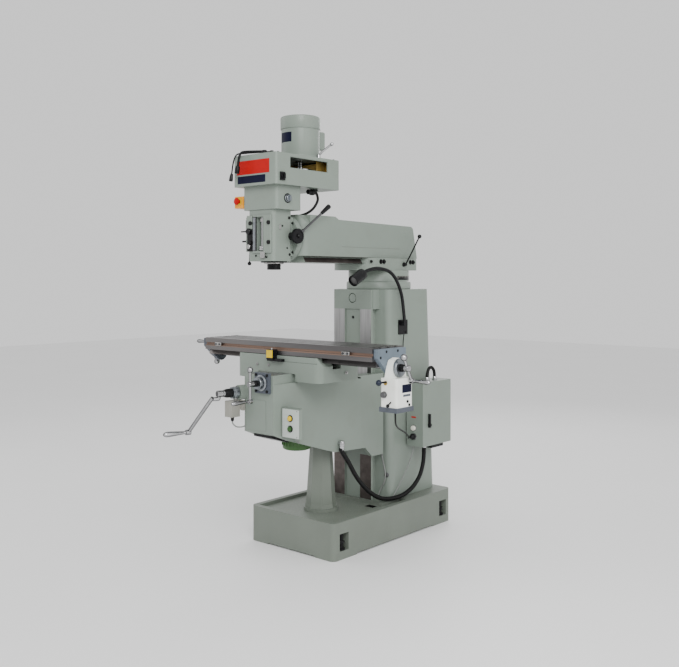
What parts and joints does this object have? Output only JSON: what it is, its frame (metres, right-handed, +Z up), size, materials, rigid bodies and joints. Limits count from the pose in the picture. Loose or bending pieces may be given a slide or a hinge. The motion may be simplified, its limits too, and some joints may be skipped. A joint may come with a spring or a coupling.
{
  "type": "milling_machine",
  "caption": "Ram-type turret milling machine with a knee, cross saddle and T-slot table, a tilting head with a belt drive, a power feed and a side electrical cabinet",
  "frame": {"origin": "the floor, under the middle of the base", "axes": "X along the table towards the power feed, Y from the operator towards the column, Z up"},
  "size_m": [1.6838, 1.6748, 2.434],
  "materials": {
    "machine_paint": "grey-green machine enamel, slightly worn",
    "machined_steel": "ground and scraped steel with an oily brown tint",
    "bright_chrome": "polished plate",
    "black_plastic": "black moulded plastic and black oxide",
    "grey_casting": "blue-grey painted end castings",
    "ivory_plastic": "off-white enamel",
    "green_paint": "mid-green enamel",
    "orange_plastic": "orange moulded plastic",
    "red_plastic": "red moulded plastic",
    "yellow_plastic": "yellow moulded plastic",
    "bronze": "cast bronze",
    "black_rubber": "smooth black jacket"
  },
  "bodies": {
    "machine_frame": {"base_casting": "machine_paint", "column_casting": "machine_paint", "screw_pedestal": "machine_paint", "elevating_nut": "bronze", "cabinet_box": "machine_paint", "knee_conduit": "black_rubber", "feed_cable": "black_rubber", "feed_plug": "black_plastic", "lamp_arm": "black_plastic", "turret_neck": "machine_paint"},
    "cabinet_door": {"cabinet_door": "machine_paint"},
    "door_latch": {"door_latch": "black_plastic"},
    "cabinet_button": {"cabinet_button": "ivory_plastic"},
    "lamp_head": {"lamp_head": "bright_chrome"},
    "knee": {"knee_casting": "machine_paint", "elevation_motor": "green_paint", "control_box": "ivory_plastic", "interlock_switch": "ivory_plastic", "cross_screw_bracket": "grey_casting"},
    "up_button": {"up_button": "yellow_plastic"},
    "down_button": {"down_button": "green_paint"},
    "elevating_screw": {"elevating_screw": "machined_steel"},
    "elevating_crank": {"elevating_crank": "bright_chrome"},
    "elevating_crank_grip": {"elevating_crank_grip": "bright_chrome"},
    "cross_screw": {"cross_screw": "bright_chrome"},
    "cross_crank_grip": {"cross_crank_grip": "bright_chrome"},
    "saddle": {"saddle_casting": "machine_paint", "table_nut": "bronze", "cross_nut": "bronze", "limit_switch": "yellow_plastic"},
    "limit_plunger": {"limit_plunger": "machined_steel"},
    "table": {"table": "machined_steel", "right_end_bracket": "grey_casting", "left_end_bracket": "grey_casting", "power_feed": "ivory_plastic"},
    "table_screw": {"table_screw": "bright_chrome"},
    "right_crank_grip": {"right_crank_grip": "bright_chrome"},
    "left_crank_grip": {"left_crank_grip": "bright_chrome"},
    "feed_speed_knob": {"feed_speed_knob": "bright_chrome"},
    "feed_lever": {"feed_lever": "black_plastic"},
    "turret": {"turret_saddle": "machine_paint"},
    "ram_lock_lever": {"ram_lock_lever": "black_plastic"},
    "ram": {"ram_casting": "machine_paint"},
    "head": {"head_casting": "machine_paint", "gear_housing": "machine_paint", "belt_housing": "machine_paint", "motor": "machine_paint", "stop_box": "orange_plastic", "drive_belt": "black_rubber"},
    "quill": {"quill": "machined_steel"},
    "spindle": {"spindle": "bright_chrome"},
    "spindle_pulley": {"spindle_pulley": "machined_steel"},
    "motor_pulley": {"motor_pulley": "machined_steel"},
    "quill_feed_lever": {"quill_feed_lever": "black_plastic"},
    "feed_trip_lever": {"feed_trip_lever": "black_plastic"},
    "fine_feed_knob": {"fine_feed_knob": "black_plastic"},
    "speed_range_knob": {"speed_range_knob": "bright_chrome"},
    "motor_switch": {"motor_switch": "black_plastic"},
    "stop_button": {"stop_button": "red_plastic"},
    "brake_lever": {"brake_lever": "black_plastic"}
  },
  "joints": [
    {"name": "elevating_crank_turn", "type": "hinge", "parent": "knee", "child": "elevating_crank", "pos_m": [0, -0.303, 0.898], "axis": [-0.247, -0.969, 0], "range_deg": [-7200, 48960]},
    {"name": "knee_lift", "type": "slide", "parent": "machine_frame", "child": "knee", "axis": [0, 0, 1], "range_m": [-0.051, 0.341], "deforming": ["knee_conduit", "feed_cable"]},
    {"name": "elevating_screw_turn", "type": "hinge", "parent": "knee", "child": "elevating_screw", "pos_m": [0, -0.303, 0.5], "axis": [0, 0, 1], "range_deg": [-3605, 24485]},
    {"name": "elevating_grip_spin", "type": "hinge", "parent": "elevating_crank", "child": "elevating_crank_grip", "pos_m": [-0.38656, -1.03005, 0.673], "axis": [-0.247, -0.969, 0], "continuous": true},
    {"name": "cross_crank_turn", "type": "hinge", "parent": "knee", "child": "cross_screw", "pos_m": [0.04, -0.5, 0.962], "axis": [0, 1, 0], "range_deg": [-7240, 20200]},
    {"name": "saddle_cross", "type": "slide", "parent": "knee", "child": "saddle", "axis": [0, 1, 0], "range_m": [-0.1, 0.28]},
    {"name": "cross_grip_spin", "type": "hinge", "parent": "cross_screw", "child": "cross_crank_grip", "pos_m": [0.04, -0.95, 0.872], "axis": [0, -1, 0], "continuous": true},
    {"name": "table_crank_turn", "type": "hinge", "parent": "table", "child": "table_screw", "pos_m": [0, -0.534, 1.068], "axis": [1, 0, 0], "range_deg": [-23800, 18760]},
    {"name": "table_travel", "type": "slide", "parent": "saddle", "child": "table", "axis": [1, 0, 0], "range_m": [-0.33, 0.26]},
    {"name": "right_grip_spin", "type": "hinge", "parent": "table_screw", "child": "right_crank_grip", "pos_m": [0.85, -0.496, 1.00218], "axis": [1, 0, 0], "continuous": true},
    {"name": "left_grip_spin", "type": "hinge", "parent": "table_screw", "child": "left_crank_grip", "pos_m": [-0.73, -0.572, 1.13382], "axis": [-1, 0, 0], "continuous": true},
    {"name": "feed_speed_turn", "type": "hinge", "parent": "table", "child": "feed_speed_knob", "pos_m": [0.7, -0.61, 0.935], "axis": [0, -1, 0], "range_deg": [0, 270]},
    {"name": "feed_lever_swing", "type": "hinge", "parent": "table", "child": "feed_lever", "pos_m": [0.716, -0.601, 1], "axis": [0, 0, 1], "range_deg": [-20, 20]},
    {"name": "up_press", "type": "slide", "parent": "knee", "child": "up_button", "axis": [0, 1, 0], "range_m": [0, 0.004], "stiffness_N_per_m": 400},
    {"name": "down_press", "type": "slide", "parent": "knee", "child": "down_button", "axis": [0, 1, 0], "range_m": [0, 0.004], "stiffness_N_per_m": 400},
    {"name": "limit_plunger_press", "type": "slide", "parent": "saddle", "child": "limit_plunger", "axis": [0, 0, -1], "range_m": [0, 0.006], "stiffness_N_per_m": 300},
    {"name": "cabinet_button_press", "type": "slide", "parent": "machine_frame", "child": "cabinet_button", "axis": [0, 1, 0], "range_m": [0, 0.004], "stiffness_N_per_m": 400},
    {"name": "stop_press", "type": "slide", "parent": "head", "child": "stop_button", "axis": [0, 1, 0], "range_m": [0, 0.005], "stiffness_N_per_m": 600},
    {"name": "cabinet_door_swing", "type": "hinge", "parent": "machine_frame", "child": "cabinet_door", "pos_m": [0.352, 0.51, 0.7], "axis": [0, 0, 1], "range_deg": [0, 110]},
    {"name": "door_latch_turn", "type": "hinge", "parent": "cabinet_door", "child": "door_latch", "pos_m": [0.36, 0.274, 0.636], "axis": [1, 0, 0], "range_deg": [0, 90]},
    {"name": "lamp_head_tilt", "type": "hinge", "parent": "machine_frame", "child": "lamp_head", "pos_m": [0.24, -0.2, 1.552], "axis": [-1, 0, 0], "range_deg": [-25, 25]},
    {"name": "turret_swivel", "type": "hinge", "parent": "machine_frame", "child": "turret", "pos_m": [0, 0.232, 1.56], "axis": [0, 0, 1], "range_deg": [-90, 90]},
    {"name": "ram_lock_swing", "type": "hinge", "parent": "turret", "child": "ram_lock_lever", "pos_m": [0.17, 0.265, 1.603], "axis": [1, 0, 0], "range_deg": [-25, 40]},
    {"name": "ram_travel", "type": "slide", "parent": "turret", "child": "ram", "axis": [0, 1, 0], "range_m": [-0.15, 0.15]},
    {"name": "head_tilt", "type": "hinge", "parent": "ram", "child": "head", "pos_m": [0, -0.6, 1.739], "axis": [0, 1, 0], "range_deg": [-45, 45]},
    {"name": "quill_feed_turn", "type": "hinge", "parent": "head", "child": "quill_feed_lever", "pos_m": [0.1, -0.652, 1.746], "axis": [1, 0, 0], "range_deg": [0, 291]},
    {"name": "quill_travel", "type": "slide", "parent": "head", "child": "quill", "axis": [0, 0, 1], "range_m": [-0.128, 0.001]},
    {"name": "motor_spin", "type": "hinge", "parent": "head", "child": "motor_pulley", "pos_m": [0, -0.475, 2.08], "axis": [0, 0, 1], "continuous": true},
    {"name": "spindle_spin", "type": "hinge", "parent": "quill", "child": "spindle", "pos_m": [0, -0.685, 1.8], "axis": [0, 0, 1], "continuous": true},
    {"name": "spindle_pulley_spin", "type": "hinge", "parent": "head", "child": "spindle_pulley", "pos_m": [0, -0.685, 2.08], "axis": [0, 0, 1], "continuous": true},
    {"name": "feed_trip_swing", "type": "hinge", "parent": "head", "child": "feed_trip_lever", "pos_m": [-0.13, -0.738, 1.676], "axis": [1, 0, 0], "range_deg": [-30, 30]},
    {"name": "fine_feed_turn", "type": "hinge", "parent": "head", "child": "fine_feed_knob", "pos_m": [-0.13, -0.742, 1.722], "axis": [1, 0, 0], "continuous": true},
    {"name": "speed_range_turn", "type": "hinge", "parent": "head", "child": "speed_range_knob", "pos_m": [0.13, -0.712, 1.947], "axis": [1, 0, 0], "range_deg": [-90, 90]},
    {"name": "motor_switch_turn", "type": "hinge", "parent": "head", "child": "motor_switch", "pos_m": [0.165, -0.789, 2.056], "axis": [1, 0, 0], "range_deg": [-45, 45]},
    {"name": "brake_swing", "type": "hinge", "parent": "head", "child": "brake_lever", "pos_m": [0.06, -0.815, 2.19], "axis": [0, 0, 1], "range_deg": [-5, 30]}
  ],
  "couplings": [
    {"joint": "knee_lift", "follows": "elevating_crank_turn", "m_per_rad": 0.00039789},
    {"joint": "elevating_screw_turn", "follows": "elevating_crank_turn", "ratio": 0.5},
    {"joint": "cross_crank_turn", "follows": "saddle_cross", "rad_per_m": 1256.6},
    {"joint": "table_crank_turn", "follows": "table_travel", "rad_per_m": 1256.6},
    {"joint": "quill_travel", "follows": "quill_feed_turn", "m_per_rad": -0.025},
    {"joint": "spindle_spin", "follows": "motor_spin", "ratio": 0.8276},
    {"joint": "spindle_pulley_spin", "follows": "motor_spin", "ratio": 0.8276}
  ]
}
